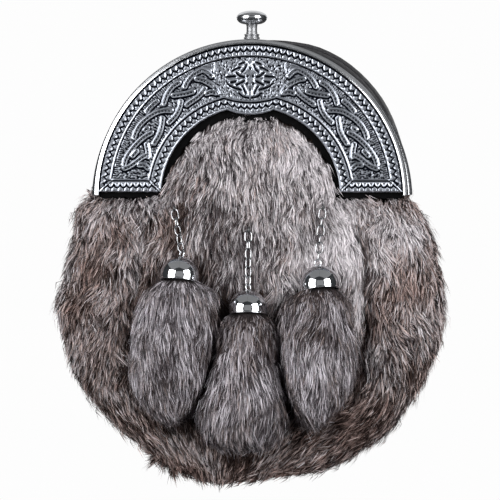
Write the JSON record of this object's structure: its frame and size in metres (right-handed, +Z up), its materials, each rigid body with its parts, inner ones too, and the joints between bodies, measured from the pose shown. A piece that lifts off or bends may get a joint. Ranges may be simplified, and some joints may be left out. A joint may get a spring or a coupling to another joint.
{
  "type": "sporran pouch",
  "caption": "Full-dress fur sporran pouch with a cast knotwork cantle on a hinged metal frame, a push-button knob and capped fur tassels on chains.",
  "frame": {"origin": "on the leather back's rear face, midway between the two strap loops", "axes": "+X to the right seen from the front, +Y towards the wearer, +Z up"},
  "size_m": [0.1851, 0.0768, 0.2284],
  "materials": {
    "cast_metal": "antique chrome casting, dark in its recesses",
    "polished_metal": "polished chrome",
    "leather": "black grained leather",
    "pouch_fur": "grey-brown rabbit fur on its hide",
    "tassel_fur": "grey rabbit fur"
  },
  "bodies": {
    "pouch": {"cantle_plate": "cast_metal", "front_frame": "polished_metal", "back_frame": "polished_metal", "knob_collar": "polished_metal", "chain_anchor_left": "polished_metal", "chain_anchor_middle": "polished_metal", "chain_anchor_right": "polished_metal", "chain_link_left_1": "polished_metal", "chain_link_left_2": "polished_metal", "chain_link_left_3": "polished_metal", "chain_link_left_4": "polished_metal", "chain_link_left_5": "polished_metal", "chain_link_middle_1": "polished_metal", "chain_link_middle_2": "polished_metal", "chain_link_middle_3": "polished_metal", "chain_link_middle_4": "polished_metal", "chain_link_middle_5": "polished_metal", "chain_link_middle_6": "polished_metal", "chain_link_right_1": "polished_metal", "chain_link_right_2": "polished_metal", "chain_link_right_3": "polished_metal", "chain_link_right_4": "polished_metal", "chain_link_right_5": "polished_metal", "chain_link_right_6": "polished_metal", "tassel_cap_left": "polished_metal", "tassel_cap_middle": "polished_metal", "tassel_cap_right": "polished_metal", "leather_underlay": "leather", "leather_gusset": "leather", "back_panel": "leather", "strap_loop_left": "leather", "strap_loop_right": "leather", "fur_pouch": "pouch_fur", "tassel_fur_left": "tassel_fur", "tassel_fur_middle": "tassel_fur", "tassel_fur_right": "tassel_fur"},
    "knob": {"knob": "polished_metal"}
  },
  "joints": [
    {"name": "knob_press", "type": "slide", "parent": "pouch", "child": "knob", "axis": [0, 0, 1], "range_m": [-0.002, 0], "stiffness_N_per_m": 1500}
  ]
}
